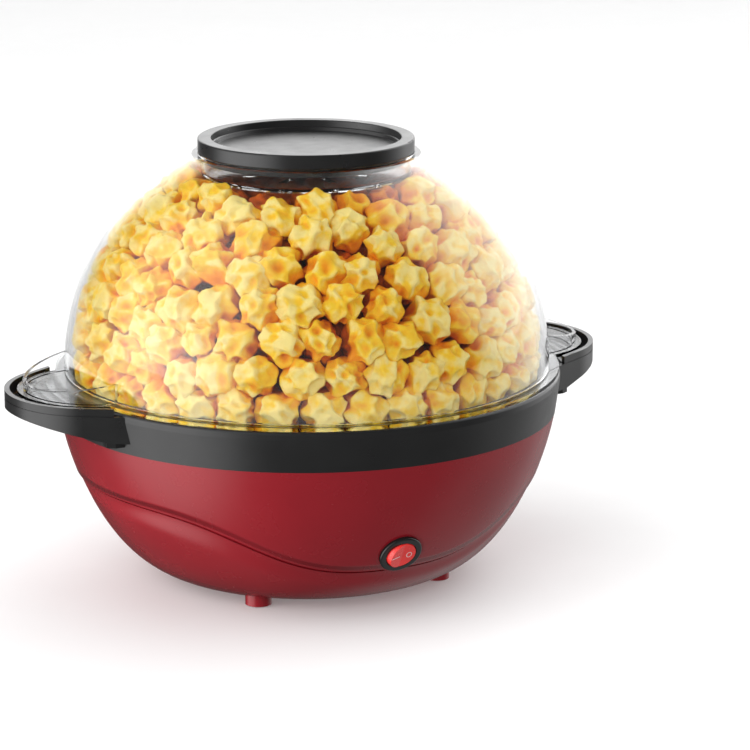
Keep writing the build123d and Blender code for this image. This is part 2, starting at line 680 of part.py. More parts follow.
def lamination_stack():
    """Steel frame of the motor with the rotor's bore and the coil window."""
    x, y = AXIS_ROTOR
    stack = block((x - 22, x + 22), (y - 17, y + 44), LAMINATION_Z)
    stack -= disc(ROTOR_R + 0.6, 10, 40, x, y)
    stack -= block((x - 14, x + 14), (y + 17, y + 32), (10, 40))
    for bx, by in MOTOR_BOLTS:
        stack -= disc(SCREW_R + 0.1, 10, 40, bx, by)
    return stack


def motor_coil():
    """Wound bobbin on the far limb of the frame."""
    x, y = AXIS_ROTOR
    coil = block((x - 12, x + 12), (y + 24, y + 51), (LAMINATION_Z[0] - 3, LAMINATION_Z[1] + 3))
    coil = fillet(coil.edges().filter_by(Axis.X), 2.5)
    flange_z = (LAMINATION_Z[0] - 3.6, LAMINATION_Z[1] + 3.6)
    for end in (-13, 11.5):
        coil += block((x + end, x + end + 1.5), (y + 22, y + 53), flange_z)
    return coil - block((x - 15, x + 15), (y + 32, y + 44), LAMINATION_Z)


def motor_bracket():
    """Bottom bearing bridge of the motor."""
    x, y = AXIS_ROTOR
    bridge = block((-23, 23), (-6, 6), (12.5, 14.5))
    for span in ((-23, -16), (16, 23)):
        bridge += block(span, (-6, 6), (12.5, LAMINATION_Z[0]))
    bridge = Pos(x, y, 0) * Rot(0, 0, degrees(atan2(9, 17))) * bridge
    for bx, by in MOTOR_BOLTS:
        bridge -= disc(SCREW_R + 0.1, 10, 20, bx, by)
    return bridge - disc(PIN_R + RUNNING_FIT, 10, 20, x, y)


def motor_screws():
    """Two screws through bracket and frame into the gear case."""
    return [Pos(x, y, 12.5) * screw(2.6, 1.6, SCREW_R, CASE_FLOOR_Z[1] - 12.5) for x, y in MOTOR_BOLTS]


# ---------------------------------------------------------------- drive and stirrer
BUSH_Z = (80.0, 90.0)
FLAT_DEPTH = 0.7


def drive_shaft():
    """Shaft from the gear case up through the plate, with a flat for the stirrer."""
    shaft = disc(SHAFT_R, CASE_FLOOR_Z[0], SHAFT_TOP_Z)
    shaft -= block((SHAFT_R - FLAT_DEPTH, 5), (-5, 5), (BUSH_Z[1] + 0.3, SHAFT_TOP_Z + 1))
    return chamfer(shaft.edges().group_by(Axis.Z)[-1], 0.4)


def shaft_bush():
    """Brass bearing in the middle of the plate."""
    body = disc(6, *BUSH_Z) + disc(9.5, PLATE_FLOOR_Z[0] - 1.6, PLATE_FLOOR_Z[0])
    return body - disc(SHAFT_R + RUNNING_FIT, 70, 95)


def shaft_seal():
    """Silicone washer round the bush, on the plate."""
    return turned([(6, 86), (11, 86), (10.2, 87.6), (6, 87.6)])


def stirring_arm():
    """Bent wire that sweeps the plate, set in a turned hub."""
    return stirring_rod() + stirring_hub() - d_bore(HUB_Z[0] - 1, HUB_Z[1] + 1)


def stirring_rod():
    """Bent wire with one long arm each side and upswept ends."""
    z = ROD_FLOOR_Z
    one_side = [(12, 0, HUB_Z[0] + 3.6), (24, 0, z), (68, 8, z), (83, 23, z + 5)]
    points = [(-x, -y, h) for x, y, h in reversed(one_side)] + one_side
    path = FilletPolyline(*points, radius=6)
    section = Plane(origin=path @ 0, z_dir=path % 0) * Circle(ROD_R)
    return sweep(section, path)


def stirring_hub():
    """Hub that slips over the flat of the drive shaft."""
    low, high = HUB_Z
    bevel = 1.5
    return turned([(0, low), (HUB_R, low), (HUB_R, high - bevel), (HUB_R - bevel, high), (0, high)])


def d_bore(z_low, z_high):
    """Bore with one flat, a running fit on the drive shaft."""
    bore = disc(SHAFT_R + RUNNING_FIT, z_low, z_high)
    return bore - block((SHAFT_R - FLAT_DEPTH + 0.1, 6), (-6, 6), (z_low - 1, z_high + 1))


def stirrer_knob():
    """Finger nut on top of the hub."""
    low, high = KNOB_Z
    corners = [(0, low), (10.5, low), (10.5, high - 2), (8.5, high), (0, high)]
    knob = turned(corners, [(10.5, high - 2, 1.0)])
    for x, y in around(10, 11.6):
        knob -= disc(2.0, KNOB_Z[0] - 1, KNOB_Z[1] + 1, x, y)
    return knob - disc(SHAFT_R + 0.3, KNOB_Z[0] - 1, SHAFT_TOP_Z + 0.6)


# ---------------------------------------------------------------- lid and cap
def dome_lid():
    """Clear spherical band, open at the top for the butter well."""
    outer = Pos(0, 0, DOME_CENTRE_Z) * Sphere(DOME_R)
    inner = Pos(0, 0, DOME_CENTRE_Z) * Sphere(DOME_R - DOME_WALL)
    return (outer - inner) & disc(200, FLANGE_Z[1] + TOUCH, DOME_TOP_Z)


def lid_rim():
    """Clear flange under the dome, with a locating skirt and two raised handles."""
    rim = disc(FLANGE_R, *FLANGE_Z) + disc(SKIRT_R[1], SKIRT_BOTTOM_Z, FLANGE_Z[0])
    for turn in (0, 180):
        rim += Rot(0, 0, turn) * lid_handle()
    rim -= disc(SKIRT_R[0], SKIRT_BOTTOM_Z - 1, 140)
    dome_space = Pos(0, 0, DOME_CENTRE_Z) * Sphere(DOME_R + TOUCH)
    return rim - (dome_space & disc(200, FLANGE_Z[1], 300))


def butter_well():
    """Clear cup hung in the top of the dome, with slots that let butter drip through."""
    floor, under_flange = WELL_FLOOR_Z, DOME_TOP_Z + TOUCH
    outside = WELL_R + WELL_WALL
    corners = [
        (0, floor[0]), (outside, floor[0]), (outside, under_flange), (WELL_FLANGE_R, under_flange),
        (WELL_FLANGE_R, CAP_SEAT_Z), (WELL_R, CAP_SEAT_Z), (WELL_R, floor[1]), (0, floor[1]),
    ]
    cup = turned(corners, [(outside, floor[0], 2.6), (WELL_R, floor[1], 1.4)])
    for turn in range(0, 360, 45):
        slot = extrude(SlotOverall(16, 3.6), 10)
        cup -= Rot(0, 0, turn) * Pos(32, 0, floor[0] - 4) * slot
    return cup


def lid_handle():
    """Raised tray handle at +X that nests inside the base handle."""
    plate = disc(LID_HANDLE_PLATE_R, *FLANGE_Z, LID_HANDLE_X)
    wall = tube(*LID_HANDLE_WALL_R, FLANGE_Z[0], LID_HANDLE_ROOT_Z + 5, LID_HANDLE_X)
    tip_x = LID_HANDLE_X + LID_HANDLE_WALL_R[1]
    over = Polyline(
        (60, 150), (60, LID_HANDLE_ROOT_Z), (LID_HANDLE_X + 4, LID_HANDLE_ROOT_Z),
        (tip_x, LID_HANDLE_TIP_Z), (200, LID_HANDLE_TIP_Z), (200, 150), close=True)
    wall -= extrude(Plane.XZ.offset(-80) * make_face(over), 160)
    return (plate + wall) & block((LID_HANDLE_X - 8, 200), (-80, 80), (100, 150))


def vent_cap():
    """Black cap with a stepped recess."""
    low, high = CAP_Z
    inner_wall = CAP_PLUG_R[1]
    corners = [
        (CAP_R, low), (CAP_R, high), (CAP_RECESS_R, high), (CAP_RECESS_R - 0.7, high - 3.8),
        (CAP_RECESS_R - 1.5, high - 4.2), (CAP_FLOOR_R, CAP_FLOOR_Z[1]), (0, CAP_FLOOR_Z[1]),
        (0, CAP_FLOOR_Z[0]), (inner_wall, CAP_FLOOR_Z[0]), (inner_wall, high - 2),
        (CAP_R - 2.2, high - 2), (CAP_R - 2.2, low),
    ]
    return turned(corners, [(CAP_R, high, 1.0), (CAP_RECESS_R, high, 0.6)])


def cap_plug():
    """Ring under the cap that fits the butter well."""
    return tube(*CAP_PLUG_R, CAP_PLUG_BOTTOM_Z, CAP_FLOOR_Z[0])


# ---------------------------------------------------------------- switch, gland and wiring
def switch_bezel():
    """Round black surround with a collar and sockets for the rocker's trunnions."""
    flange = turned([(0, 0), (BEZEL_R, 0), (BEZEL_R, BEZEL_H), (0, BEZEL_H)], [(BEZEL_R, BEZEL_H, 1.0)])
    body = flange + disc(COLLAR_R, -COLLAR_DEPTH, 0)
    body -= disc(ROCKER_R + 0.3, -20, 20)
    body -= Rot(90, 0, 0) * Cylinder(TRUNNION_R + RUNNING_FIT, 21.2)
    return SWITCH_PLANE * body


def switch_rocker():
    """Round rocker with two facets, at rest pressed on its off side."""
    rise = 10 * tan(radians(ROCKER_HALF_SWING))
    crown = 2.45
    top = [(10, crown + rise), (0, crown), (-10, crown + rise)]
    section = Polyline((-10, -2.5), (10, -2.5), *top, close=True)
    body = extrude(Plane.XZ.offset(-10) * make_face(section), 20) & Sphere(ROCKER_R)
    body += Rot(90, 0, 0) * Cylinder(TRUNNION_R, 20.8)
    return SWITCH_PLANE * (Rot(0, ROCKER_HALF_SWING, 0) * body)


def switch_body():
    """Moulded contact box behind the rocker."""
    body = disc(COLLAR_R, -COLLAR_DEPTH - 1.5, -COLLAR_DEPTH)
    body += block((-9.5, 9.5), (-7, 7), (-22, -COLLAR_DEPTH - 1.5))
    return SWITCH_PLANE * body


def switch_terminals():
    """Three blade terminals on the back of the switch."""
    return [SWITCH_PLANE * block((x - 0.4, x + 0.4), (-3, 3), (-30, -22)) for x in (-6, 0, 6)]


def cord_gland():
    """Rubber grommet in the back wall with the bore for a power cord."""
    corners = [(0, 0), (GLAND_FLANGE_R, 0), (GLAND_FLANGE_R, 2.6), (0, 2.6)]
    body = turned(corners, [(GLAND_FLANGE_R, 2.6, 1.0)])
    body += disc(GLAND_BODY_R, -7, 0) + turned([(0, -3.4), (8, -3.4), (6.8, -7), (0, -7)])
    return GLAND_PLANE * (body - disc(GLAND_BORE_R, -20, 20))


def terminal_block():
    """Three-way screw terminal block on the floor behind the motor."""
    y0, z0 = 60.0, LIP_TOP_Z
    body = block((-16, 16), (y0, y0 + 14), (z0, z0 + 11))
    for x in (-10, 0, 10):
        body -= disc(2.4, z0 + 5, z0 + 12, x, y0 + 7)
        body -= Pos(x, y0 + 7, z0 + 4) * Rot(90, 0, 0) * Cylinder(1.6, 20)
    return body


def main():
    os.makedirs("parts", exist_ok=True)
    save("bottom_housing", bottom_housing())
    save("bottom_cover", bottom_cover())
    save("cover_screws", *cover_screws())
    for place, (sx, sy) in FOOT_PLACES.items():
        save("foot_" + place, foot(sx * FOOT_XY, sy * FOOT_XY))
    save("foot_pads", *foot_pads())
    save("foot_screws", *foot_screws())
    save("rim_ring", rim_ring())
    save("handle_right", handle_right())
    save("handle_left", handle_left())
    save("handle_screws", *handle_screws())
    save("popping_plate", popping_plate())
    save("plate_gasket", plate_gasket())
    save("plate_studs", *plate_studs())
    save("stud_nuts", *stud_nuts())
    save("heating_element", heating_element())
    save("element_clamps", *element_clamps())
    save("thermostat", thermostat())
    save("fuse_clip", fuse_clip())
    save("thermal_fuse", thermal_fuse())
    save("heat_shield", heat_shield())
    save("shield_screws", *shield_screws())
    save("drive_gear", drive_gear())
    save("gear_two", gear_two())
    save("gear_one", gear_one())
    save("rotor_core", rotor_core())
    save("rotor_shaft", rotor_shaft())
    save("gearbox_case", gearbox_case())
    save("gearbox_cover", gearbox_cover())
    save("gearbox_screws", *gearbox_screws())
    save("gear_pins", *gear_pins())
    save("lamination_stack", lamination_stack())
    save("motor_coil", motor_coil())
    save("motor_bracket", motor_bracket())
    save("motor_screws", *motor_screws())
    save("drive_shaft", drive_shaft())
    save("shaft_bush", shaft_bush())
    save("shaft_seal", shaft_seal())
    save("stirring_arm", stirring_arm())
    save("stirrer_knob", stirrer_knob())
    save("dome_lid", dome_lid())
    save("lid_rim", lid_rim())
    save("butter_well", butter_well())
    save("vent_cap", vent_cap())
    save("cap_plug", cap_plug())
    save("switch_bezel", switch_bezel())
    save("switch_rocker", switch_rocker())
    save("switch_body", switch_body())
    save("switch_terminals", *switch_terminals())
    save("cord_gland", cord_gland())
    save("terminal_block", terminal_block())


main()
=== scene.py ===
"""Looks of the stirring popcorn maker: materials, popped corn, studio light and camera.

Metres, +Z up, in the frame of the CAD model: the handles lie along X and the switch faces -Y.
"""

import json
import math

import bpy
import numpy as np
from mathutils import Matrix, Vector

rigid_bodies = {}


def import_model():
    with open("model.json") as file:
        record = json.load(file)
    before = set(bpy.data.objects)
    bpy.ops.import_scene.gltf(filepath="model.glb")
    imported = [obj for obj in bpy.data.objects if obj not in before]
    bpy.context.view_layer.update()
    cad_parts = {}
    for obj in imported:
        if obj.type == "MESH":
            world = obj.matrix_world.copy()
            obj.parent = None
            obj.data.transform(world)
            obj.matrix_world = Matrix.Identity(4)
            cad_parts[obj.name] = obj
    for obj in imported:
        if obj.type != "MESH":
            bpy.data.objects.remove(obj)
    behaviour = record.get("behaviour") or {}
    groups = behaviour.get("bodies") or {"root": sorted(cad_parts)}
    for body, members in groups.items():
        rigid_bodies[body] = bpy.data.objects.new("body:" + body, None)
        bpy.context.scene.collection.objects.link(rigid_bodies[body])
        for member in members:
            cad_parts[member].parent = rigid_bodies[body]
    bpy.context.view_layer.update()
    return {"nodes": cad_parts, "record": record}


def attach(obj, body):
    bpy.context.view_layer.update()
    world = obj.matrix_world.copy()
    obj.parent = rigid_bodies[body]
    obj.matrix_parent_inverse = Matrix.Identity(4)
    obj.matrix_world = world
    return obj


for old in list(bpy.data.objects):
    bpy.data.objects.remove(old)

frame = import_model()
MM = 0.001

# ---------------------------------------------------------------- camera, floor and light
CAMERA_PLACE = Vector((-0.7448, -1.6688, 0.5847))
CAMERA_AIM = Vector((0.4142, 0.8758, -0.2477))
LENS_MM = 152.3
SENSOR_MM = 36.0


def make_camera():
    """Camera at the viewing angle, with a long lens and no shift."""
    data = bpy.data.cameras.new("camera")
    data.lens = LENS_MM
    data.sensor_width = SENSOR_MM
    data.clip_end = 50.0
    camera = bpy.data.objects.new("camera", data)
    bpy.context.scene.collection.objects.link(camera)
    camera.location = CAMERA_PLACE
    camera.rotation_euler = CAMERA_AIM.to_track_quat("-Z", "Y").to_euler()
    bpy.context.scene.camera = camera


# Light directions are (right, toward the camera, up) as the camera's azimuth sees them.
VIEW_RIGHT = Vector((0.9040, -0.4275, 0.0))
VIEW_NEAR = Vector((-0.4275, -0.9040, 0.0))
# Each lamp is a direction, a distance, a width and height, and a radiance.
SOFT_BOXES = {
    "box_top": ((0.0, 0.0, 1.0), 2.4, (3.6, 3.6), 1.1),
    "box_left": ((-0.85, 0.35, 0.35), 1.8, (1.5, 1.3), 1.6),
    "box_front": ((-0.1, 0.9, 0.42), 2.4, (1.6, 1.2), 3.3),
    "box_right": ((0.85, 0.35, 0.35), 1.8, (1.5, 1.3), 0.8),
}
# Each glow is a direction, the cosines where it is full and where it has faded out, and a strength.
GLOWS = [
    ((-0.76, -0.09, -0.69), 0.93, 0.62, 0.08),
    ((-0.85, 0.28, 0.43), 0.93, 0.60, 1.5),
    ((0.70, -0.56, 0.43), 0.93, 0.68, 1.9),
    ((0.69, -0.49, -0.58), 0.93, 0.68, 0.45),
    ((0.00, -0.97, 0.25), 0.97, 0.78, 1.8),
    ((-0.89, 0.37, -0.24), 0.95, 0.70, 2.3),
    ((0.00, 0.80, -0.60), 0.80, 0.20, 0.2),
]
AMBIENT = 0.1
BACKDROP = 0.79           # as bright as the far floor
WHITE = (1.0, 1.0, 1.0, 1.0)
LAMPS_AIM = Vector((0, 0, 0.13))
FLOOR_HALF = 30.0


def toward(direction):
    """Unit vector in the model's axes of a light direction."""
    right, near, up = direction
    return (VIEW_RIGHT * right + VIEW_NEAR * near + Vector((0, 0, up))).normalized()


def soft_box(name, direction, distance, size, radiance):
    """Rectangular lamp that faces the object and shows in no reflection."""
    data = bpy.data.lights.new(name, "AREA")
    data.shape = "RECTANGLE"
    data.size, data.size_y = size
    data.energy = radiance * math.pi * size[0] * size[1]
    light = bpy.data.objects.new(name, data)
    bpy.context.scene.collection.objects.link(light)
    way = toward(direction)
    light.location = LAMPS_AIM + way * distance
    light.rotation_euler = (-way).to_track_quat("-Z", "Y").to_euler()
    light.visible_camera = False
    light.visible_glossy = False
    light.visible_transmission = False


def make_surroundings():
    """Dim room with soft-edged glows, which give the sheen on the dome and the shell.

    The camera itself sees an even backdrop in place of the glows.
    """
    world = bpy.data.worlds.new("studio")
    bpy.context.scene.world = world
    world.use_nodes = True
    nodes, links = world.node_tree.nodes, world.node_tree.links
    direction = nodes.new("ShaderNodeTexCoord").outputs["Generated"]
    total = None
    for way, inner, outer, strength in GLOWS:
        across = nodes.new("ShaderNodeVectorMath")
        across.operation = "DOT_PRODUCT"
        links.new(direction, across.inputs[0])
        across.inputs[1].default_value = toward(way)
        fade = nodes.new("ShaderNodeMapRange")
        fade.interpolation_type = "SMOOTHSTEP"
        values = {"From Min": outer, "From Max": inner, "To Min": 0.0, "To Max": strength}
        for socket, value in values.items():
            fade.inputs[socket].default_value = value
        links.new(across.outputs["Value"], fade.inputs["Value"])
        add = nodes.new("ShaderNodeMath")
        add.operation = "ADD"
        links.new(fade.outputs["Result"], add.inputs[0])
        add.inputs[1].default_value = AMBIENT
        if total:
            links.new(total, add.inputs[1])
        total = add.outputs["Value"]
    links.new(total, nodes["Background"].inputs["Strength"])
    nodes["Background"].inputs["Color"].default_value = WHITE
    backdrop = nodes.new("ShaderNodeBackground")
    backdrop.inputs["Color"].default_value = WHITE
    backdrop.inputs["Strength"].default_value = BACKDROP
    by_ray = nodes.new("ShaderNodeMixShader")
    links.new(nodes.new("ShaderNodeLightPath").outputs["Is Camera Ray"], by_ray.inputs[0])
    links.new(nodes["Background"].outputs["Background"], by_ray.inputs[1])
    links.new(backdrop.outputs["Background"], by_ray.inputs[2])
    links.new(by_ray.outputs["Shader"], nodes["World Output"].inputs["Surface"])


def make_studio():
    """Surroundings, lamps and a pale floor. Only the camera and the clear parts see the floor itself."""
    bpy.context.scene.view_settings.view_transform = "Standard"
    make_surroundings()
    for name, (direction, distance, size, radiance) in SOFT_BOXES.items():
        soft_box(name, direction, distance, size, radiance)
    corners = [(x * FLOOR_HALF, y * FLOOR_HALF, 0) for x, y in ((-1, -1), (1, -1), (1, 1), (-1, 1))]
    mesh = bpy.data.meshes.new("floor")
    mesh.from_pydata(corners, [], [(0, 1, 2, 3)])
    mesh.materials.append(floor_material())
    floor = bpy.data.objects.new("floor", mesh)
    bpy.context.scene.collection.objects.link(floor)
    floor.visible_diffuse = False
    floor.visible_glossy = False


# ---------------------------------------------------------------- material helpers
class Look:
    """One Principled material and short calls for its nodes."""

    def __init__(self, name, color, roughness, metallic=0.0, specular=0.5):
        self.material = bpy.data.materials.new(name)
        self.material.use_nodes = True
        self.nodes = self.material.node_tree.nodes
        self.links = self.material.node_tree.links
        self.shader = self.nodes["Principled BSDF"]
        self.color = color
        self.set("Base Color", (*color, 1.0))
        self.set("Roughness", roughness)
        self.set("Metallic", metallic)
        self.set("Specular IOR Level", specular)
        self.place = self.nodes.new("ShaderNodeTexCoord").outputs["Object"]

    def set(self, socket, value):
        self.shader.inputs[socket].default_value = value

    def link(self, output, socket):
        self.links.new(output, socket)

    def noise(self, scale, detail=3.0, stretch=(1, 1, 1)):
        """Noise output over the object's own metres; scale is in features per metre."""
        mapping = self.nodes.new("ShaderNodeMapping")
        mapping.inputs["Scale"].default_value = stretch
        self.link(self.place, mapping.inputs["Vector"])
        node = self.nodes.new("ShaderNodeTexNoise")
        node.inputs["Scale"].default_value = scale
        node.inputs["Detail"].default_value = detail
        self.link(mapping.outputs["Vector"], node.inputs["Vector"])
        return node.outputs["Fac"]

    def bands(self, direction, pitch):
        """Stripes across one axis, one for each pitch in metres."""
        node = self.nodes.new("ShaderNodeTexWave")
        node.bands_direction = direction
        node.inputs["Scale"].default_value = 2 * math.pi / (20 * pitch)
        self.link(self.place, node.inputs["Vector"])
        return node.outputs["Fac"]

    def math(self, operation, first, second=None):
        """One Math node on an output and, if given, a second output or number."""
        node = self.nodes.new("ShaderNodeMath")
        node.operation = operation
        self.link(first, node.inputs[0])
        if isinstance(second, float):
            node.inputs[1].default_value = second
        elif second:
            self.link(second, node.inputs[1])
        return node.outputs["Value"]

    def spread(self, output, low, high, start=0.3, end=0.7, curve="LINEAR"):
        """An output mapped from start..end to low..high."""
        node = self.nodes.new("ShaderNodeMapRange")
        node.interpolation_type = curve
        values = {"From Min": start, "From Max": end, "To Min": low, "To Max": high}
        for socket, value in values.items():
            node.inputs[socket].default_value = value
        self.link(output, node.inputs["Value"])
        return node.outputs["Result"]

    def ramp(self, output, stops):
        """Colours along an output: stops are (place, colour)."""
        node = self.nodes.new("ShaderNodeValToRGB")
        elements = node.color_ramp.elements
        while len(elements) < len(stops):
            elements.new(0.5)
        for element, (place, color) in zip(elements, stops):
            element.position = place
            element.color = (*color, 1.0)
        self.link(output, node.inputs["Fac"])
        return node.outputs["Color"]

    def vary_color(self, output, amount):
        """Base colour a little darker and lighter by an output."""
        low = tuple(c * (1 - amount) for c in self.color)
        high = tuple(min(c * (1 + amount), 1.0) for c in self.color)
        self.link(self.ramp(output, [(0.35, low), (0.65, high)]), self.shader.inputs["Base Color"])

    def vary_roughness(self, output, low, high):
        self.link(self.spread(output, low, high), self.shader.inputs["Roughness"])

    def bump(self, output, strength, depth):
        """Bump of a depth in metres, on top of any bump that is already there."""
        node = self.nodes.new("ShaderNodeBump")
        node.inputs["Strength"].default_value = strength
        node.inputs["Distance"].default_value = depth
        self.link(output, node.inputs["Height"])
        normal = self.shader.inputs["Normal"]
        if normal.is_linked:
            self.link(normal.links[0].from_socket, node.inputs["Normal"])
        self.link(node.outputs["Normal"], normal)


def floor_material():
    """Pale paper that glows a little, so shadows on it stay light."""
    look = Look("pale_floor", (0.7, 0.7, 0.7), 0.6, specular=0.1)
    look.vary_color(look.noise(3.0), 0.008)
    look.vary_roughness(look.noise(40.0), 0.55, 0.65)
    look.bump(look.noise(300.0), 0.05, 0.0002)
    look.set("Emission Color", WHITE)
    look.set("Emission Strength", 0.16)
    return look.material


# The wavy step of the shell, as in the CAD model, and how far its soft hollow reaches
WAVE_LOW_Z = 0.0324
WAVE_RISE = 0.0345
WAVE_HALF_WIDTH = 0.13
WAVE_POWER = 3.5
FOLD_BELOW = 0.016
FOLD_ABOVE = 0.005
FOLD_DEPTH = 0.0018


def red_shell():
    """Smooth moulded red with a wide soft gloss."""
    look = Look("red_shell", (0.27, 0.009, 0.016), 0.26, specular=0.35)
    look.vary_color(look.noise(18.0), 0.05)
    look.vary_roughness(look.noise(60.0, 4.0), 0.23, 0.29)
    look.bump(look.noise(260.0, 2.0), 0.06, 0.0002)
    look.bump(fold_under_step(look), 1.0, FOLD_DEPTH)
    return look.material


def fold_under_step(look):
    """Height of the soft hollow along the wavy step: 0 at the step and 1 away from it."""
    split = look.nodes.new("ShaderNodeSeparateXYZ")
    look.link(look.place, split.inputs["Vector"])
    share = look.math("MINIMUM", look.math("ABSOLUTE", split.outputs["X"]), WAVE_HALF_WIDTH)
    angle = look.math("MULTIPLY", share, math.pi / (2 * WAVE_HALF_WIDTH))
    rise = look.math("POWER", look.math("SINE", angle), WAVE_POWER)
    step = look.math("ADD", look.math("MULTIPLY", rise, WAVE_RISE), WAVE_LOW_Z)
    above = look.math("SUBTRACT", split.outputs["Z"], step)
    below = look.spread(above, 1.0, 0.0, -FOLD_BELOW, 0.0, "SMOOTHERSTEP")
    edge = look.spread(above, 0.0, 1.0, 0.0, FOLD_ABOVE, "SMOOTHERSTEP")
    return look.math("MAXIMUM", below, edge)


def black_shell(name="black_shell", level_sheen=0.5):
    """Satin moulded black with a fine grain. Level faces can have a sheen of their own."""
    look = Look(name, (0.01, 0.01, 0.0102), 0.3, specular=0.5)
    facing = look.nodes.new("ShaderNodeSeparateXYZ")
    look.link(look.nodes.new("ShaderNodeNewGeometry").outputs["True Normal"], facing.inputs["Vector"])
    sheen = look.spread(facing.outputs["Z"], 0.45, level_sheen, 0.6, 1.0)
    look.link(sheen, look.shader.inputs["Specular IOR Level"])
    look.vary_color(look.noise(25.0), 0.2)
    look.vary_roughness(look.noise(90.0, 4.0), 0.27, 0.34)
    look.bump(look.noise(2600.0, 2.0), 0.12, 0.00008)
    return look.material


def black_trim():
    look = Look("black_trim", (0.008, 0.009, 0.0088), 0.22, specular=0.5)
    look.vary_color(look.noise(60.0), 0.2)
    look.vary_roughness(look.noise(140.0, 4.0), 0.18, 0.27)
    look.bump(look.noise(900.0), 0.05, 0.0001)
    return look.material


def clear_shell(name="clear_shell", ior=1.49, tint=0.955):
    """Clear moulding. Lamps reach what is behind it through the transparent shader."""
    look = Look(name, (tint - 0.005, tint, tint + 0.005), 0.03)
    look.set("Transmission Weight", 1.0)
    look.set("IOR", ior)
    look.vary_color(look.noise(12.0), 0.006)
    look.vary_roughness(look.noise(40.0, 3.0), 0.015, 0.05)
    look.bump(look.noise(45.0, 1.0), 0.04, 0.0004)
    lamplight = look.nodes.new("ShaderNodeBsdfTransparent")
    lamplight.inputs["Color"].default_value = (0.94, 0.945, 0.95, 1.0)
    mix = look.nodes.new("ShaderNodeMixShader")
    look.link(look.nodes.new("ShaderNodeLightPath").outputs["Is Shadow Ray"], mix.inputs["Fac"])
    look.link(look.shader.outputs["BSDF"], mix.inputs[1])
    look.link(lamplight.outputs["BSDF"], mix.inputs[2])
    look.link(mix.outputs["Shader"], look.nodes["Material Output"].inputs["Surface"])
    return look.material


def red_rocker():
    """Translucent red with a faint glow, which is painted light standing in for light passing through the
    rocker.
    """
    look = Look("red_rocker", (0.78, 0.035, 0.03), 0.25)
    # Painted light: a faint red glow, with no lamp behind it.
    look.set("Emission Color", (0.9, 0.02, 0.02, 1.0))
    look.set("Emission Strength", 0.12)
    look.vary_color(look.noise(120.0), 0.08)
    look.vary_roughness(look.noise(300.0), 0.2, 0.3)
    look.bump(look.noise(900.0), 0.05, 0.0001)
    return look.material


def mark_white():
    look = Look("mark_white", (0.9, 0.74, 0.72), 0.5)
    look.vary_color(look.noise(400.0), 0.06)
    look.vary_roughness(look.noise(600.0), 0.4, 0.6)
    look.bump(look.noise(2500.0), 0.1, 0.00005)
    return look.material


def nonstick():
    """Dark coating with pale flecks."""
    dark, pale = (0.03, 0.03, 0.031), (0.2, 0.2, 0.2)
    look = Look("nonstick", dark, 0.42, metallic=0.3)
    flecked = look.ramp(look.noise(1500.0, 1.0), [(0.66, dark), (0.74, pale)])
    look.link(flecked, look.shader.inputs["Base Color"])
    look.vary_roughness(look.noise(120.0, 4.0), 0.36, 0.5)
    look.bump(look.noise(1800.0), 0.2, 0.0001)
    return look.material


def soft_rubber():
    look = Look("soft_rubber", (0.03, 0.03, 0.031), 0.75, specular=0.3)
    look.vary_color(look.noise(300.0), 0.2)
    look.vary_roughness(look.noise(500.0), 0.68, 0.85)
    look.bump(look.noise(2200.0), 0.25, 0.0001)
    return look.material


def steel(name, color, low, high):
    """Drawn metal with fine lengthwise lines."""
    look = Look(name, color, low, metallic=1.0)
    look.vary_color(look.noise(180.0), 0.08)
    look.vary_roughness(look.noise(900.0, 3.0, (1, 1, 0.08)), low, high)
    look.bump(look.noise(3000.0, 2.0, (1, 1, 0.05)), 0.12, 0.00005)
    return look.material


def brass_parts():
    look = Look("brass_parts", (0.72, 0.5, 0.2), 0.28, metallic=1.0)
    look.vary_color(look.noise(200.0), 0.12)
    look.vary_roughness(look.noise(700.0), 0.22, 0.36)
    look.bump(look.bands("Z", 0.0004), 0.08, 0.00003)
    return look.material


def plain_plastic(name, color, low, high, grain):
    look = Look(name, color, low, specular=0.4)
    look.vary_color(look.noise(80.0), 0.07)
    look.vary_roughness(look.noise(200.0), low, high)
    look.bump(look.noise(grain), 0.12, 0.0001)
    return look.material


def magnet():
    look = Look("magnet", (0.06, 0.06, 0.065), 0.6, metallic=0.4)
    look.vary_color(look.noise(400.0), 0.25)
    look.vary_roughness(look.noise(900.0), 0.5, 0.7)
    look.bump(look.noise(3000.0), 0.3, 0.0001)
    return look.material


def motor_steel():
    """Stacked sheets, half a millimetre each."""
    look = Look("motor_steel", (0.4, 0.41, 0.43), 0.4, metallic=1.0)
    look.vary_color(look.noise(220.0), 0.15)
    look.vary_roughness(look.noise(600.0), 0.34, 0.5)
    look.bump(look.bands("Z", 0.0005), 0.5, 0.00012)
    return look.material


def copper_coil():
    """Enamelled turns side by side."""
    look = Look("copper_coil", (0.62, 0.24, 0.09), 0.3, metallic=0.9)
    turns = look.bands("X", 0.0006)
    enamel = look.ramp(turns, [(0.1, (0.25, 0.08, 0.03)), (0.7, (0.7, 0.28, 0.1))])
    look.link(enamel, look.shader.inputs["Base Color"])
    look.vary_roughness(look.noise(500.0), 0.24, 0.4)
    look.bump(turns, 0.8, 0.0002)
    return look.material


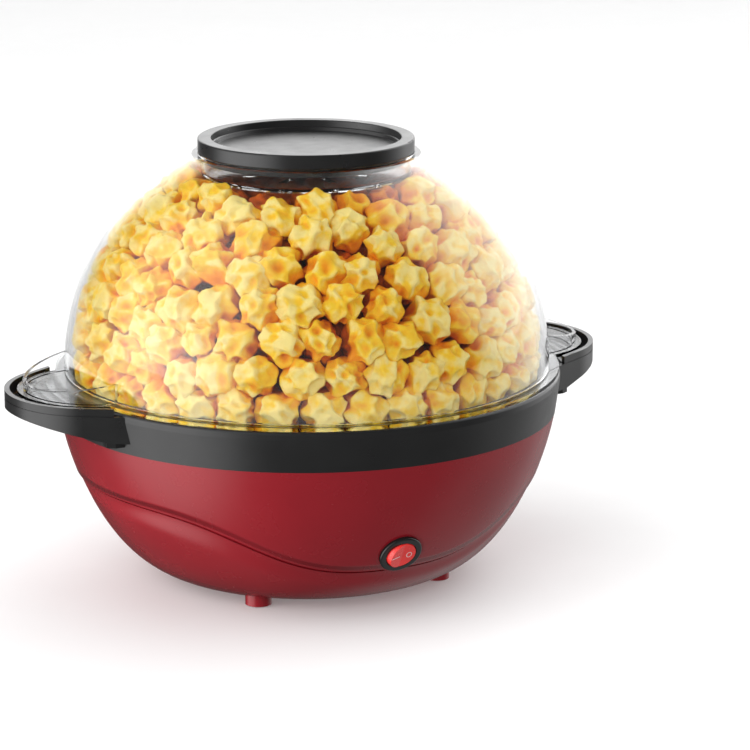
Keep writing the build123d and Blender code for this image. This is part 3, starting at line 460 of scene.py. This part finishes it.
def popped_corn():
    """Buttered corn: pale on the lobes and golden in the creases, with painted shade that turns it brown
    in the creases and deep in the heap.
    """
    look = Look("popped_corn", (0.9, 0.6, 0.15), 0.45, specular=0.28)
    # The attribute carries the crease tone: the corn's own golden colour in its creases, together with
    # painted shade there and deep in the heap.
    crease_and_shade = look.nodes.new("ShaderNodeAttribute")
    crease_and_shade.attribute_name = "crease_and_shade"
    patches = look.spread(look.noise(120.0, 2.0), -0.1, 0.14)
    tone = look.math("ADD", crease_and_shade.outputs["Fac"], patches)
    # Pale and golden stops are the corn's own colour; the orange and brown stops are partly its own colour
    # and partly painted shade.
    stops = [
        (0.0, (0.99, 0.8, 0.28)), (0.13, (0.98, 0.64, 0.035)), (0.36, (0.92, 0.34, 0.006)),
        (0.62, (0.6, 0.1, 0.003)), (1.0, (0.12, 0.018, 0.002)),
    ]
    look.link(look.ramp(tone, stops), look.shader.inputs["Base Color"])
    look.set("Subsurface Weight", 0.12)
    look.set("Subsurface Radius", (1.0, 0.45, 0.12))
    look.set("Subsurface Scale", 0.003)
    look.vary_roughness(look.noise(220.0, 3.0), 0.36, 0.56)
    look.bump(look.noise(300.0, 5.0), 0.5, 0.0014)
    return look.material


def dress_nodes():
    """Every CAD node gets the material of its slot, and three get a variant of it."""
    makers = {
        "red_shell": red_shell,
        "black_shell": black_shell,
        "black_trim": black_trim,
        "clear_shell": clear_shell,
        "red_rocker": red_rocker,
        "nonstick": nonstick,
        "soft_rubber": soft_rubber,
        "plain_steel": lambda: steel("plain_steel", (0.62, 0.62, 0.63), 0.22, 0.38),
        "shield_metal": lambda: steel("shield_metal", (0.7, 0.7, 0.71), 0.3, 0.48),
        "brass_parts": brass_parts,
        "gear_plastic": lambda: plain_plastic("gear_plastic", (0.82, 0.8, 0.72), 0.34, 0.46, 900.0),
        "case_plastic": lambda: plain_plastic("case_plastic", (0.03, 0.03, 0.034), 0.45, 0.6, 1600.0),
        "magnet": magnet,
        "motor_steel": motor_steel,
        "copper_coil": copper_coil,
    }
    looks = {slot: make() for slot, make in makers.items()}
    for part in frame["record"]["subparts"]:
        node = frame["nodes"][part["node"]]
        node.data.materials.clear()
        node.data.materials.append(looks[part["material_slot"]])
    frame["nodes"]["vent_cap"].data.materials[0] = black_shell("black_cap", 1.0)
    frame["nodes"]["lid_rim"].data.materials[0] = clear_shell("clear_rim", 1.13, 0.965)
    frame["nodes"]["butter_well"].data.materials[0] = clear_shell("clear_well", 1.13, 0.9)


# ---------------------------------------------------------------- popped corn, in millimetres
DOME_CENTRE = np.array([0.0, 0.0, 125.0])
DOME_LIMIT = 140.4        # from the centre to the outside of the heap
WALL_EASE = 1.0           # kernels flatten against the lid over this depth
LID_WAY_R = 138.5         # the lid's skirt lifts past the heap outside this radius
CORE_R = 95.0
SWEPT_R = 94.5            # the stirring rod and its lift stay inside this radius
SWEPT_TOP = 141.0
WELL_R = 61.8
WELL_LOW = 237.2
PLATE_EDGE = ((95.0, 86.0), (129.5, 115.6))
KERNELS = 450
KERNEL_R = (10.7, 12.7)
KINDS = 20
FINE, COARSE = 14, 8      # geodesic steps of near and hidden kernels
FINE_BEYOND = 112.0
FACES_A_PIECE = 170000
SEED = 41
REACH = 1.08              # a kernel's reach, in its own radii
TUCK_BESIDE = 0.8         # and how near the well its centre may come, beside it and below
TUCK_BELOW = 0.9
SETTLE_STEPS = 300
DRIFT_STEPS = 240
PUSH = 0.45
DRIFT = 0.12
KERNEL_CAP = 1.19         # the longest lobe, in radii
LOBE_BLEND = 30           # higher gives sharper ridges between lobes

# Painted shade on the kernels: darker by their depth in the heap, and below the well where the cap shades
# them
SHADE_START = 3.5
SHADE_RUN = 17.0
WELL_SHADE = 0.25
WELL_SHADE_Z = (224.0, 238.0)
WELL_SHADE_R = (68.0, 80.0)


def unit(vectors):
    return vectors / np.linalg.norm(vectors, axis=-1, keepdims=True)


def geodesic(steps):
    """Unit directions and triangles of an icosahedron with each edge cut into steps."""
    golden = (1 + 5 ** 0.5) / 2
    corners = [(-1, golden, 0), (1, golden, 0), (-1, -golden, 0), (1, -golden, 0),
               (0, -1, golden), (0, 1, golden), (0, -1, -golden), (0, 1, -golden),
               (golden, 0, -1), (golden, 0, 1), (-golden, 0, -1), (-golden, 0, 1)]
    sides = [(0, 11, 5), (0, 5, 1), (0, 1, 7), (0, 7, 10), (0, 10, 11), (1, 5, 9), (5, 11, 4), (11, 10, 2),
             (10, 7, 6), (7, 1, 8), (3, 9, 4), (3, 4, 2), (3, 2, 6), (3, 6, 8), (3, 8, 9), (4, 9, 5),
             (2, 4, 11), (6, 2, 10), (8, 6, 7), (9, 8, 1)]
    corners = np.array(corners)
    found, points, faces = {}, [], []

    def index(point):
        key = tuple(np.round(point, 5))
        if key not in found:
            found[key] = len(points)
            points.append(point)
        return found[key]

    for a, b, c in sides:
        rows = []
        for i in range(steps + 1):
            row = []
            for j in range(steps + 1 - i):
                row.append(index((corners[a] * (steps - i - j) + corners[b] * i + corners[c] * j) / steps))
            rows.append(row)
        for i in range(steps):
            for j in range(steps - i):
                faces.append((rows[i][j], rows[i + 1][j], rows[i][j + 1]))
                if j < steps - i - 1:
                    faces.append((rows[i + 1][j], rows[i + 1][j + 1], rows[i][j + 1]))
    return unit(np.array(points)), np.array(faces)


def waves(points, rng, pitch, count=14):
    """Smooth random field from -1 to 1 made of plane waves."""
    ways = unit(rng.normal(size=(count, 3))) * rng.uniform(0.6, 1.4, (count, 1)) * pitch
    shifts = rng.uniform(0, 2 * np.pi, count)
    return np.cos(points @ ways.T + shifts).sum(1) / count ** 0.5 / 1.2


def kernel_recipe(seed):
    """A popped kernel as a function of direction: it gives (radius, crease tone) with a mean radius near
    1. The crease tone is partly the kernel's own golden colour and partly painted shade in its dents and
    folds.
    """
    def shape(directions):
        rng = np.random.default_rng(seed)
        count = rng.integers(19, 29)
        dents = unit(rng.normal(size=(count, 3)))
        for _ in range(8):
            away = dents[:, None] - dents[None]
            gap = np.linalg.norm(away, axis=2) + np.eye(count)
            dents = unit(dents + 0.012 * (away / gap[..., None] ** 3).sum(1))
        reach = rng.uniform(0.74, 0.93, count)
        hollow = rng.uniform(2.0, 4.5, count)
        coarse = np.stack([waves(directions, rng, 2.4) for _ in range(3)], 1)
        fine = np.stack([waves(directions, rng, 6.5) for _ in range(3)], 1)
        bent = unit(directions + 0.2 * coarse + 0.07 * fine)
        faces = reach * np.clip(bent @ dents.T, 0.2, 1) ** -hollow
        faces = np.concatenate([faces, np.full((len(faces), 1), KERNEL_CAP)], 1)
        radius = -np.log(np.exp(-faces * LOBE_BLEND).sum(1)) / LOBE_BLEND
        folds = np.abs(waves(directions, rng, 6.0))
        radius = 1.02 * radius - 0.07 * (folds - 0.4) + 0.02 * waves(directions, rng, 14.0)
        # Crease tone: darker in deep dents and along folds, partly the kernel's own colour and partly
        # painted shade.
        crease_and_shade = np.clip((1.0 - radius) / 0.3, 0, 1) * 0.34 + 0.3 * np.clip(folds - 0.5, 0, 1)
        return radius, crease_and_shade
    return shape


def keep_inside(place, size):
    """Moves kernels out of the lid, the butter well, the plate and the stirring rod's way."""
    out = place - DOME_CENTRE
    far = np.linalg.norm(out, axis=1)
    wanted = np.clip(far, CORE_R, DOME_LIMIT - REACH * size)
    place = DOME_CENTRE + out * (wanted / far)[:, None]
    flat = np.hypot(place[:, 0], place[:, 1])
    low = np.where(place[:, 2] < SWEPT_TOP + size, SWEPT_R + size, 0.0)
    wanted = np.clip(flat, low, LID_WAY_R - size)
    place[:, :2] *= (wanted / flat)[:, None]
    (r0, z0), (r1, z1) = PLATE_EDGE
    run = math.hypot(r1 - r0, z1 - z0)
    across = np.array([-(z1 - z0), r1 - r0]) / run
    height = (wanted - r0) * across[0] + (place[:, 2] - z0) * across[1]
    place[:, 2] += np.clip(size - height, 0, None) / across[1]
    sunk = place[:, 2] - (WELL_LOW - TUCK_BELOW * size)
    beside = WELL_R + TUCK_BESIDE * size - wanted
    in_well = (sunk > 0) & (beside > 0)
    down = in_well & (sunk < beside)
    place[down, 2] -= sunk[down]
    outward = in_well & ~down
    place[outward, :2] *= ((WELL_R + TUCK_BESIDE * size) / wanted)[outward, None]
    return place


def pack_kernels(rng):
    """Kernel centres and radii, pushed apart until they lie close against each other."""
    size = rng.uniform(*KERNEL_R, KERNELS)
    way = unit(rng.normal(size=(KERNELS, 3)))
    way[:, 2] = np.abs(way[:, 2])
    place = DOME_CENTRE + way * rng.uniform(CORE_R, DOME_LIMIT - 12, (KERNELS, 1))
    place = keep_inside(place, size)
    for step in range(SETTLE_STEPS):
        away = place[:, None] - place[None]
        gap = np.linalg.norm(away, axis=2) + np.eye(KERNELS) * 1e3
        overlap = np.clip(size[:, None] + size[None] - gap, 0, None)
        place = place + PUSH * (away / gap[..., None] * overlap[..., None]).sum(1)
        if step < DRIFT_STEPS:
            place += DRIFT * unit(place - DOME_CENTRE)
        place = keep_inside(place, size)
    return place, size


def random_turn(rng):
    """Rotation matrix from a random unit quaternion."""
    w, x, y, z = unit(rng.normal(size=4))
    return np.array([
        [1 - 2 * (y * y + z * z), 2 * (x * y - z * w), 2 * (x * z + y * w)],
        [2 * (x * y + z * w), 1 - 2 * (x * x + z * z), 2 * (y * z - x * w)],
        [2 * (x * z - y * w), 2 * (y * z + x * w), 1 - 2 * (x * x + y * y)]])


def against_wall(points):
    """Points past the lid's inner face drawn back to it."""
    out = points - DOME_CENTRE
    far = np.linalg.norm(out, axis=1)
    over = np.clip(far - (DOME_LIMIT - WALL_EASE), 0, None)
    eased = np.minimum(far, DOME_LIMIT - WALL_EASE) + 0.9 * (1 - np.exp(-over))
    points = DOME_CENTRE + out * (eased / far)[:, None]
    flat = np.hypot(points[:, 0], points[:, 1])
    points[:, :2] *= (np.minimum(flat, LID_WAY_R) / flat)[:, None]
    beside = WELL_R - flat
    sunk = points[:, 2] - WELL_LOW
    outward = (beside > 0) & (sunk > beside)
    points[outward, :2] *= (WELL_R / flat)[outward, None]
    points[(beside > 0) & (sunk > 0) & ~outward, 2] = WELL_LOW
    return points


def heap_shade(points):
    """Painted shade: 0 at the outside of the heap, towards 1 deep between its kernels and below the well.
    """
    far = np.linalg.norm(points - DOME_CENTRE, axis=1)
    share = np.clip((DOME_LIMIT - SHADE_START - far) / SHADE_RUN, 0, 1)
    flat = np.hypot(points[:, 0], points[:, 1])
    (low, high), (near, wide) = WELL_SHADE_Z, WELL_SHADE_R
    raised = np.clip((points[:, 2] - low) / (high - low), 0, 1)
    by_well = raised * np.clip((wide - flat) / (wide - near), 0, 1)
    return np.clip(share * share * (3 - 2 * share) + WELL_SHADE * by_well, 0, 1)


def corn_mesh(name, chunks):
    """One mesh of many kernels with their crease tone and painted shade values."""
    points = np.concatenate([c[0] for c in chunks]) * MM
    crease_and_shade = np.concatenate([c[2] for c in chunks])
    starts = np.cumsum([0] + [len(c[0]) for c in chunks[:-1]])
    faces = np.concatenate([c[1] + s for c, s in zip(chunks, starts)])
    mesh = bpy.data.meshes.new(name)
    mesh.vertices.add(len(points))
    mesh.vertices.foreach_set("co", points.astype(np.float32).ravel())
    mesh.loops.add(len(faces) * 3)
    mesh.loops.foreach_set("vertex_index", faces.astype(np.int32).ravel())
    mesh.polygons.add(len(faces))
    mesh.polygons.foreach_set("loop_start", np.arange(0, len(faces) * 3, 3, dtype=np.int32))
    mesh.update(calc_edges=True)
    mesh.polygons.foreach_set("use_smooth", np.ones(len(faces), bool))
    layer = mesh.attributes.new("crease_and_shade", "FLOAT", "POINT")
    layer.data.foreach_set("value", crease_and_shade.astype(np.float32))
    return mesh


def make_popcorn(material):
    """Popped corn that fills the space under the dome, in a few large meshes."""
    rng = np.random.default_rng(SEED)
    place, size = pack_kernels(rng)
    far = np.linalg.norm(place - DOME_CENTRE, axis=1)
    recipes = [kernel_recipe(100 + k) for k in range(KINDS)]
    shapes = {}
    for steps in (FINE, COARSE):
        ways, faces = geodesic(steps)
        shapes[steps] = [(ways, faces, *recipe(ways)) for recipe in recipes]
    groups = {FINE: [], COARSE: []}
    for centre, radius, reach in zip(place, size, far):
        steps = FINE if reach > FINE_BEYOND else COARSE
        ways, faces, shape, crease_and_shade = shapes[steps][rng.integers(KINDS)]
        stretch = rng.uniform(0.9, 1.1, 3)
        points = (ways * shape[:, None] * stretch * radius * 0.98) @ random_turn(rng).T + centre
        # Painted shade by depth in the heap, plus the crease tone and a random shift.
        tone = 0.75 * heap_shade(points) + crease_and_shade * 0.6 + rng.normal(0, 0.05)
        groups[steps].append((against_wall(points), faces, np.clip(tone, 0, 1)))
    for steps, label in ((FINE, "outer"), (COARSE, "inner")):
        kernels = groups[steps]
        per_piece = FACES_A_PIECE // len(kernels[0][1])
        for start in range(0, len(kernels), per_piece):
            name = f"popcorn_{label}_{start // per_piece + 1}"
            heap = bpy.data.objects.new(name, corn_mesh(name, kernels[start:start + per_piece]))
            bpy.context.scene.collection.objects.link(heap)
            heap.data.materials.append(material)
            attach(heap, "base")


# ---------------------------------------------------------------- marks on the rocker, in millimetres
SWITCH_ORIGIN = Vector((0.0, -126.933, 43.2936)) * MM
SWITCH_X = Vector((1, 0, 0))
SWITCH_Y = Vector((0, -0.48925, 0.87214))
SWITCH_OUT = Vector((0, -0.87214, -0.48925))
FACET_HEIGHT = 2.42
VALLEY_X = 0.38
RAISED_SLOPE = math.radians(18)
RING_RADII = (1.5, 1.85)
RING_POINTS = 36
RING_STROKE = 0.22        # half the width of the line
RING_REACH = 4.3          # from the valley to the mark's centre, along its facet
BAR_HALF = 2.8
BAR_STROKE = 0.26
BAR_REACH = 4.6


def raised_strip(name, line, half_width, closed):
    """Thin strip with chamfered sides along points (x, y) in millimetres on a plane, 0.1 mm proud."""
    section = [(-half_width, -0.06), (-half_width, 0.05), (-half_width * 0.7, 0.1),
               (half_width * 0.7, 0.1), (half_width, 0.05), (half_width, -0.06)]
    count, points, faces = len(line), [], []

    def neighbour(i):
        return line[i % count] if closed else line[min(max(i, 0), count - 1)]

    for i, (x, y) in enumerate(line):
        before, after = neighbour(i - 1), neighbour(i + 1)
        along = Vector((after[0] - before[0], after[1] - before[1])).normalized()
        side = Vector((along.y, -along.x))
        points += [(x + side.x * s, y + side.y * s, h) for s, h in section]
    size = len(section)
    for i in range(count if closed else count - 1):
        j = (i + 1) % count
        for k in range(size):
            m = (k + 1) % size
            faces.append((i * size + k, i * size + m, j * size + m, j * size + k))
    if not closed:
        faces += [tuple(range(size)), tuple(reversed(range((count - 1) * size, count * size)))]
    mesh = bpy.data.meshes.new(name)
    mesh.from_pydata([Vector(p) * MM for p in points], [], faces)
    mesh.update()
    return mesh


def make_marks(material):
    """Line and ring of an on and off switch, on the rocker's two facets."""
    turns = np.linspace(0, 2 * math.pi, RING_POINTS, endpoint=False)
    ring = [(RING_RADII[0] * math.cos(t), RING_RADII[1] * math.sin(t)) for t in turns]
    bar = [(x, 0.0) for x in np.linspace(-BAR_HALF, BAR_HALF, 7)]
    on_x = VALLEY_X - BAR_REACH * math.cos(RAISED_SLOPE)
    on_height = FACET_HEIGHT + BAR_REACH * math.sin(RAISED_SLOPE)
    spots = [("mark_off", ring, RING_STROKE, True, VALLEY_X + RING_REACH, FACET_HEIGHT, 0.0),
             ("mark_on", bar, BAR_STROKE, False, on_x, on_height, RAISED_SLOPE)]
    for name, line, half_width, closed, x, height, slope in spots:
        mark = bpy.data.objects.new(name, raised_strip(name, line, half_width, closed))
        bpy.context.scene.collection.objects.link(mark)
        mark.data.materials.append(material)
        basis = Matrix((SWITCH_X, SWITCH_Y, SWITCH_OUT)).transposed().to_4x4()
        basis.translation = SWITCH_ORIGIN
        spot = Matrix.Translation(Vector((x, 0, height)) * MM) @ Matrix.Rotation(slope, 4, "Y")
        mark.data.transform(basis @ spot)
        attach(mark, "rocker")


# ---------------------------------------------------------------- scene
make_camera()
make_studio()
dress_nodes()
make_popcorn(popped_corn())
make_marks(mark_white())
